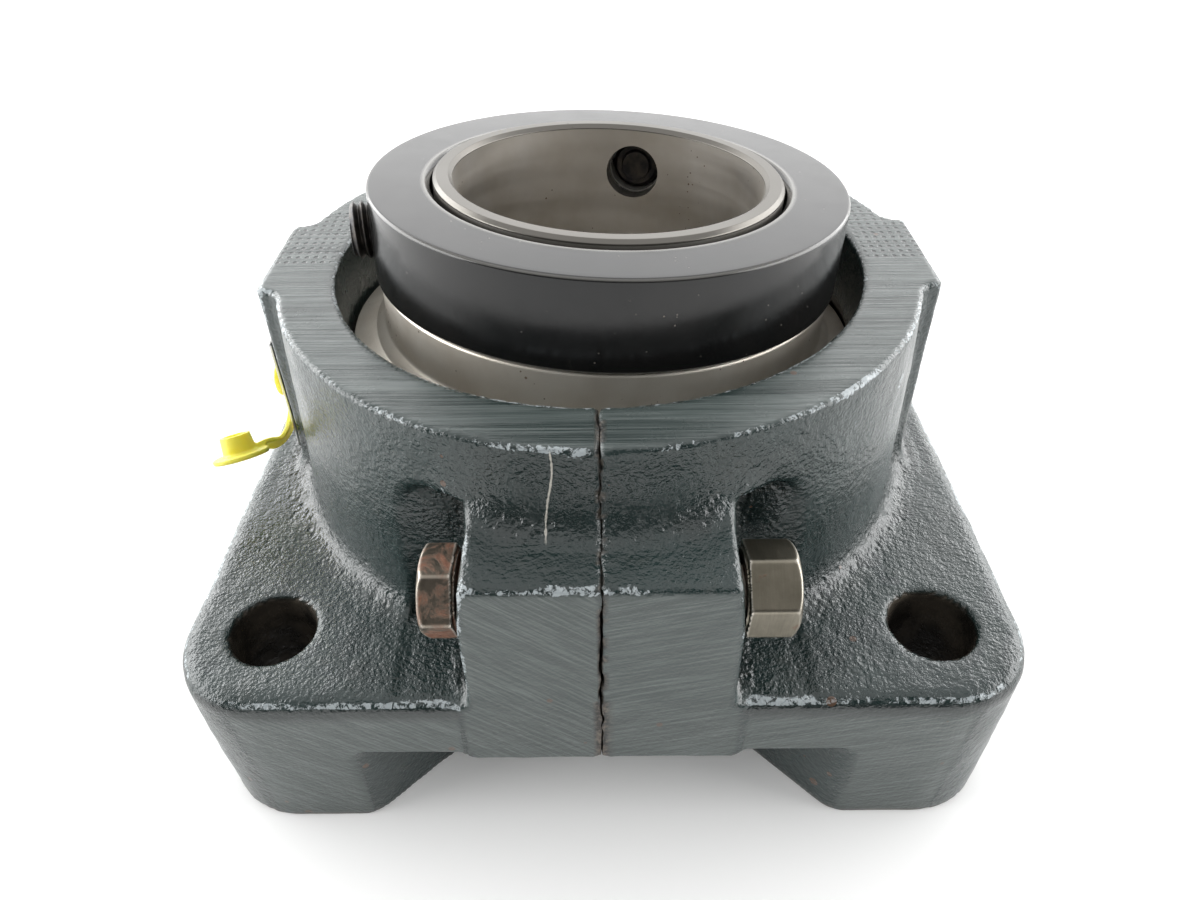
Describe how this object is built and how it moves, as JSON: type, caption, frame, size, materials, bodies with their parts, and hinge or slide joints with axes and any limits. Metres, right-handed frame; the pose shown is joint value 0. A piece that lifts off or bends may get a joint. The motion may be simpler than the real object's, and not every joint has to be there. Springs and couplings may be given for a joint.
{
  "type": "flange mount bearing",
  "caption": "Square four-bolt flange bearing: split cast housing with clamp bolts, self-aligning tapered roller insert and a set-screw locking collar.",
  "frame": {"origin": "on the axis of the housing's bore at the mounting plane, under the feet", "axes": "+Z out of the machine along the housing's bore, +X along the clamp bolts towards their nuts, -Y towards the front clamp boss"},
  "size_m": [0.2246, 0.2222, 0.1432],
  "materials": {
    "housing_paint": "semi-gloss dark green-grey enamel over rough cast iron",
    "fastener_steel": "plain steel with an olive tinge and spots of rust",
    "bearing_steel": "ground bearing steel",
    "black_oxide": "black oxide, satin",
    "cage_steel": "pressed steel",
    "seal_rubber": "moulded nitrile",
    "plated_fitting": "zinc plated",
    "yellow_cap": "soft translucent polyethylene",
    "plate_metal": "satin, blank"
  },
  "bodies": {
    "housing": {"housing_left_half": "housing_paint", "housing_right_half": "housing_paint", "clamp_bolt_front": "fastener_steel", "clamp_nut_front": "fastener_steel", "clamp_bolt_rear": "fastener_steel", "clamp_nut_rear": "fastener_steel", "grease_fitting": "plated_fitting", "name_plate": "plate_metal", "drive_screw_1": "plate_metal", "drive_screw_2": "plate_metal"},
    "pin": {"locating_pin": "bearing_steel"},
    "outer_ring": {"outer_ring": "bearing_steel", "seal_upper": "seal_rubber", "seal_lower": "seal_rubber"},
    "shaft_ring": {"inner_ring_upper": "bearing_steel", "inner_ring_lower": "bearing_steel", "locking_collar": "black_oxide", "slinger_upper": "bearing_steel", "slinger_lower": "bearing_steel"},
    "set_screw_1": {"set_screw_1": "black_oxide"},
    "set_screw_2": {"set_screw_2": "black_oxide"},
    "cage_upper": {"cage_upper": "cage_steel"},
    "cage_lower": {"cage_lower": "cage_steel"},
    "cap": {"fitting_cap": "yellow_cap"},
    "roller_upper_01": {"roller_upper_01": "bearing_steel"},
    "roller_upper_02": {"roller_upper_02": "bearing_steel"},
    "roller_upper_03": {"roller_upper_03": "bearing_steel"},
    "roller_upper_04": {"roller_upper_04": "bearing_steel"},
    "roller_upper_05": {"roller_upper_05": "bearing_steel"},
    "roller_upper_06": {"roller_upper_06": "bearing_steel"},
    "roller_upper_07": {"roller_upper_07": "bearing_steel"},
    "roller_upper_08": {"roller_upper_08": "bearing_steel"},
    "roller_upper_09": {"roller_upper_09": "bearing_steel"},
    "roller_upper_10": {"roller_upper_10": "bearing_steel"},
    "roller_upper_11": {"roller_upper_11": "bearing_steel"},
    "roller_upper_12": {"roller_upper_12": "bearing_steel"},
    "roller_upper_13": {"roller_upper_13": "bearing_steel"},
    "roller_upper_14": {"roller_upper_14": "bearing_steel"},
    "roller_upper_15": {"roller_upper_15": "bearing_steel"},
    "roller_upper_16": {"roller_upper_16": "bearing_steel"},
    "roller_lower_01": {"roller_lower_01": "bearing_steel"},
    "roller_lower_02": {"roller_lower_02": "bearing_steel"},
    "roller_lower_03": {"roller_lower_03": "bearing_steel"},
    "roller_lower_04": {"roller_lower_04": "bearing_steel"},
    "roller_lower_05": {"roller_lower_05": "bearing_steel"},
    "roller_lower_06": {"roller_lower_06": "bearing_steel"},
    "roller_lower_07": {"roller_lower_07": "bearing_steel"},
    "roller_lower_08": {"roller_lower_08": "bearing_steel"},
    "roller_lower_09": {"roller_lower_09": "bearing_steel"},
    "roller_lower_10": {"roller_lower_10": "bearing_steel"},
    "roller_lower_11": {"roller_lower_11": "bearing_steel"},
    "roller_lower_12": {"roller_lower_12": "bearing_steel"},
    "roller_lower_13": {"roller_lower_13": "bearing_steel"},
    "roller_lower_14": {"roller_lower_14": "bearing_steel"},
    "roller_lower_15": {"roller_lower_15": "bearing_steel"},
    "roller_lower_16": {"roller_lower_16": "bearing_steel"}
  },
  "joints": [
    {"name": "swivel_about_y", "type": "hinge", "parent": "housing", "child": "pin", "pos_m": [0, 0, 0.068], "axis": [0, 1, 0], "range_deg": [-5.8, 0.6]},
    {"name": "swivel_about_x", "type": "hinge", "parent": "pin", "child": "outer_ring", "pos_m": [0, 0, 0.068], "axis": [0.999, 0, -0.0454], "range_deg": [-0.24, 6.16]},
    {"name": "shaft_spin", "type": "hinge", "parent": "outer_ring", "child": "shaft_ring", "pos_m": [0, 0, 0.068], "axis": [0.0454, 0.0516, 0.9976], "continuous": true},
    {"name": "set_screw_1_travel", "type": "slide", "parent": "shaft_ring", "child": "set_screw_1", "axis": [0.9834, 0.1734, -0.0537], "range_m": [0, 0.0085]},
    {"name": "set_screw_2_travel", "type": "slide", "parent": "shaft_ring", "child": "set_screw_2", "axis": [-0.1969, -0.9786, 0.0595], "range_m": [0, 0.006]},
    {"name": "cage_upper_orbit", "type": "hinge", "parent": "outer_ring", "child": "cage_upper", "pos_m": [0, 0, 0.068], "axis": [0.0454, 0.0516, 0.9976], "continuous": true},
    {"name": "cage_lower_orbit", "type": "hinge", "parent": "outer_ring", "child": "cage_lower", "pos_m": [0, 0, 0.068], "axis": [0.0454, 0.0516, 0.9976], "continuous": true},
    {"name": "cap_swing", "type": "hinge", "parent": "housing", "child": "cap", "pos_m": [-0.0993, 0, 0.0745], "axis": [1, 0, 0], "range_deg": [-185, 8]},
    {"name": "roller_upper_01_spin", "type": "hinge", "parent": "cage_upper", "child": "roller_upper_01", "pos_m": [0.0548, 0.00075, 0.08], "axis": [0.2352, 0.0506, 0.9706], "continuous": true},
    {"name": "roller_upper_02_spin", "type": "hinge", "parent": "cage_upper", "child": "roller_upper_02", "pos_m": [0.05063, 0.02146, 0.07912], "axis": [0.2205, 0.1235, 0.9675], "continuous": true},
    {"name": "roller_upper_03_spin", "type": "hinge", "parent": "cage_upper", "child": "roller_upper_03", "pos_m": [0.03885, 0.03902, 0.07875], "axis": [0.179, 0.1854, 0.9662], "continuous": true},
    {"name": "roller_upper_04_spin", "type": "hinge", "parent": "cage_upper", "child": "roller_upper_04", "pos_m": [0.02126, 0.05076, 0.07894], "axis": [0.1171, 0.2267, 0.9669], "continuous": true},
    {"name": "roller_upper_05_spin", "type": "hinge", "parent": "cage_upper", "child": "roller_upper_05", "pos_m": [0.00053, 0.05488, 0.07967], "axis": [0.0441, 0.2412, 0.9695], "continuous": true},
    {"name": "roller_upper_06_spin", "type": "hinge", "parent": "cage_upper", "child": "roller_upper_06", "pos_m": [-0.02018, 0.05076, 0.08083], "axis": [-0.0288, 0.2267, 0.9735], "continuous": true},
    {"name": "roller_upper_07_spin", "type": "hinge", "parent": "cage_upper", "child": "roller_upper_07", "pos_m": [-0.03772, 0.03902, 0.08223], "axis": [-0.0905, 0.1854, 0.9785], "continuous": true},
    {"name": "roller_upper_08_spin", "type": "hinge", "parent": "cage_upper", "child": "roller_upper_08", "pos_m": [-0.04941, 0.02146, 0.08367], "axis": [-0.1317, 0.1235, 0.9836], "continuous": true},
    {"name": "roller_upper_09_spin", "type": "hinge", "parent": "cage_upper", "child": "roller_upper_09", "pos_m": [-0.05349, 0.00075, 0.08493], "axis": [-0.1461, 0.0506, 0.988], "continuous": true},
    {"name": "roller_upper_10_spin", "type": "hinge", "parent": "cage_upper", "child": "roller_upper_10", "pos_m": [-0.04932, -0.01997, 0.08581], "axis": [-0.1314, -0.0223, 0.9911], "continuous": true},
    {"name": "roller_upper_11_spin", "type": "hinge", "parent": "cage_upper", "child": "roller_upper_11", "pos_m": [-0.03754, -0.03753, 0.08618], "axis": [-0.0899, -0.0841, 0.9924], "continuous": true},
    {"name": "roller_upper_12_spin", "type": "hinge", "parent": "cage_upper", "child": "roller_upper_12", "pos_m": [-0.01994, -0.04926, 0.08599], "axis": [-0.028, -0.1254, 0.9917], "continuous": true},
    {"name": "roller_upper_13_spin", "type": "hinge", "parent": "cage_upper", "child": "roller_upper_13", "pos_m": [0.00078, -0.05338, 0.08526], "axis": [0.045, -0.1399, 0.9891], "continuous": true},
    {"name": "roller_upper_14_spin", "type": "hinge", "parent": "cage_upper", "child": "roller_upper_14", "pos_m": [0.0215, -0.04926, 0.0841], "axis": [0.1179, -0.1254, 0.9851], "continuous": true},
    {"name": "roller_upper_15_spin", "type": "hinge", "parent": "cage_upper", "child": "roller_upper_15", "pos_m": [0.03903, -0.03753, 0.0827], "axis": [0.1797, -0.0841, 0.9801], "continuous": true},
    {"name": "roller_upper_16_spin", "type": "hinge", "parent": "cage_upper", "child": "roller_upper_16", "pos_m": [0.05073, -0.01997, 0.08126], "axis": [0.2208, -0.0223, 0.9751], "continuous": true},
    {"name": "roller_lower_01_spin", "type": "hinge", "parent": "cage_lower", "child": "roller_lower_01", "pos_m": [0.05349, -0.00075, 0.05107], "axis": [-0.1461, 0.0506, 0.988], "continuous": true},
    {"name": "roller_lower_02_spin", "type": "hinge", "parent": "cage_lower", "child": "roller_lower_02", "pos_m": [0.04932, 0.01997, 0.05019], "axis": [-0.1314, -0.0223, 0.9911], "continuous": true},
    {"name": "roller_lower_03_spin", "type": "hinge", "parent": "cage_lower", "child": "roller_lower_03", "pos_m": [0.03754, 0.03753, 0.04982], "axis": [-0.0899, -0.0841, 0.9924], "continuous": true},
    {"name": "roller_lower_04_spin", "type": "hinge", "parent": "cage_lower", "child": "roller_lower_04", "pos_m": [0.01994, 0.04926, 0.05001], "axis": [-0.028, -0.1254, 0.9917], "continuous": true},
    {"name": "roller_lower_05_spin", "type": "hinge", "parent": "cage_lower", "child": "roller_lower_05", "pos_m": [-0.00078, 0.05338, 0.05074], "axis": [0.045, -0.1399, 0.9891], "continuous": true},
    {"name": "roller_lower_06_spin", "type": "hinge", "parent": "cage_lower", "child": "roller_lower_06", "pos_m": [-0.0215, 0.04926, 0.0519], "axis": [0.1179, -0.1254, 0.9851], "continuous": true},
    {"name": "roller_lower_07_spin", "type": "hinge", "parent": "cage_lower", "child": "roller_lower_07", "pos_m": [-0.03903, 0.03753, 0.0533], "axis": [0.1797, -0.0841, 0.9801], "continuous": true},
    {"name": "roller_lower_08_spin", "type": "hinge", "parent": "cage_lower", "child": "roller_lower_08", "pos_m": [-0.05073, 0.01997, 0.05474], "axis": [0.2208, -0.0223, 0.9751], "continuous": true},
    {"name": "roller_lower_09_spin", "type": "hinge", "parent": "cage_lower", "child": "roller_lower_09", "pos_m": [-0.0548, -0.00075, 0.056], "axis": [0.2352, 0.0506, 0.9706], "continuous": true},
    {"name": "roller_lower_10_spin", "type": "hinge", "parent": "cage_lower", "child": "roller_lower_10", "pos_m": [-0.05063, -0.02146, 0.05688], "axis": [0.2205, 0.1235, 0.9675], "continuous": true},
    {"name": "roller_lower_11_spin", "type": "hinge", "parent": "cage_lower", "child": "roller_lower_11", "pos_m": [-0.03885, -0.03902, 0.05725], "axis": [0.179, 0.1854, 0.9662], "continuous": true},
    {"name": "roller_lower_12_spin", "type": "hinge", "parent": "cage_lower", "child": "roller_lower_12", "pos_m": [-0.02126, -0.05076, 0.05706], "axis": [0.1171, 0.2267, 0.9669], "continuous": true},
    {"name": "roller_lower_13_spin", "type": "hinge", "parent": "cage_lower", "child": "roller_lower_13", "pos_m": [-0.00053, -0.05488, 0.05633], "axis": [0.0441, 0.2412, 0.9695], "continuous": true},
    {"name": "roller_lower_14_spin", "type": "hinge", "parent": "cage_lower", "child": "roller_lower_14", "pos_m": [0.02018, -0.05076, 0.05517], "axis": [-0.0288, 0.2267, 0.9735], "continuous": true},
    {"name": "roller_lower_15_spin", "type": "hinge", "parent": "cage_lower", "child": "roller_lower_15", "pos_m": [0.03772, -0.03902, 0.05377], "axis": [-0.0905, 0.1854, 0.9785], "continuous": true},
    {"name": "roller_lower_16_spin", "type": "hinge", "parent": "cage_lower", "child": "roller_lower_16", "pos_m": [0.04941, -0.02146, 0.05233], "axis": [-0.1317, 0.1235, 0.9836], "continuous": true}
  ],
  "couplings": [
    {"joint": "cage_upper_orbit", "follows": "shaft_spin", "ratio": 0.45291},
    {"joint": "cage_lower_orbit", "follows": "shaft_spin", "ratio": 0.45291},
    {"joint": "roller_upper_01_spin", "follows": "shaft_spin", "ratio": -5.1653},
    {"joint": "roller_upper_02_spin", "follows": "shaft_spin", "ratio": -5.1653},
    {"joint": "roller_upper_03_spin", "follows": "shaft_spin", "ratio": -5.1653},
    {"joint": "roller_upper_04_spin", "follows": "shaft_spin", "ratio": -5.1653},
    {"joint": "roller_upper_05_spin", "follows": "shaft_spin", "ratio": -5.1653},
    {"joint": "roller_upper_06_spin", "follows": "shaft_spin", "ratio": -5.1653},
    {"joint": "roller_upper_07_spin", "follows": "shaft_spin", "ratio": -5.1653},
    {"joint": "roller_upper_08_spin", "follows": "shaft_spin", "ratio": -5.1653},
    {"joint": "roller_upper_09_spin", "follows": "shaft_spin", "ratio": -5.1653},
    {"joint": "roller_upper_10_spin", "follows": "shaft_spin", "ratio": -5.1653},
    {"joint": "roller_upper_11_spin", "follows": "shaft_spin", "ratio": -5.1653},
    {"joint": "roller_upper_12_spin", "follows": "shaft_spin", "ratio": -5.1653},
    {"joint": "roller_upper_13_spin", "follows": "shaft_spin", "ratio": -5.1653},
    {"joint": "roller_upper_14_spin", "follows": "shaft_spin", "ratio": -5.1653},
    {"joint": "roller_upper_15_spin", "follows": "shaft_spin", "ratio": -5.1653},
    {"joint": "roller_upper_16_spin", "follows": "shaft_spin", "ratio": -5.1653},
    {"joint": "roller_lower_01_spin", "follows": "shaft_spin", "ratio": -5.1653},
    {"joint": "roller_lower_02_spin", "follows": "shaft_spin", "ratio": -5.1653},
    {"joint": "roller_lower_03_spin", "follows": "shaft_spin", "ratio": -5.1653},
    {"joint": "roller_lower_04_spin", "follows": "shaft_spin", "ratio": -5.1653},
    {"joint": "roller_lower_05_spin", "follows": "shaft_spin", "ratio": -5.1653},
    {"joint": "roller_lower_06_spin", "follows": "shaft_spin", "ratio": -5.1653},
    {"joint": "roller_lower_07_spin", "follows": "shaft_spin", "ratio": -5.1653},
    {"joint": "roller_lower_08_spin", "follows": "shaft_spin", "ratio": -5.1653},
    {"joint": "roller_lower_09_spin", "follows": "shaft_spin", "ratio": -5.1653},
    {"joint": "roller_lower_10_spin", "follows": "shaft_spin", "ratio": -5.1653},
    {"joint": "roller_lower_11_spin", "follows": "shaft_spin", "ratio": -5.1653},
    {"joint": "roller_lower_12_spin", "follows": "shaft_spin", "ratio": -5.1653},
    {"joint": "roller_lower_13_spin", "follows": "shaft_spin", "ratio": -5.1653},
    {"joint": "roller_lower_14_spin", "follows": "shaft_spin", "ratio": -5.1653},
    {"joint": "roller_lower_15_spin", "follows": "shaft_spin", "ratio": -5.1653},
    {"joint": "roller_lower_16_spin", "follows": "shaft_spin", "ratio": -5.1653}
  ]
}
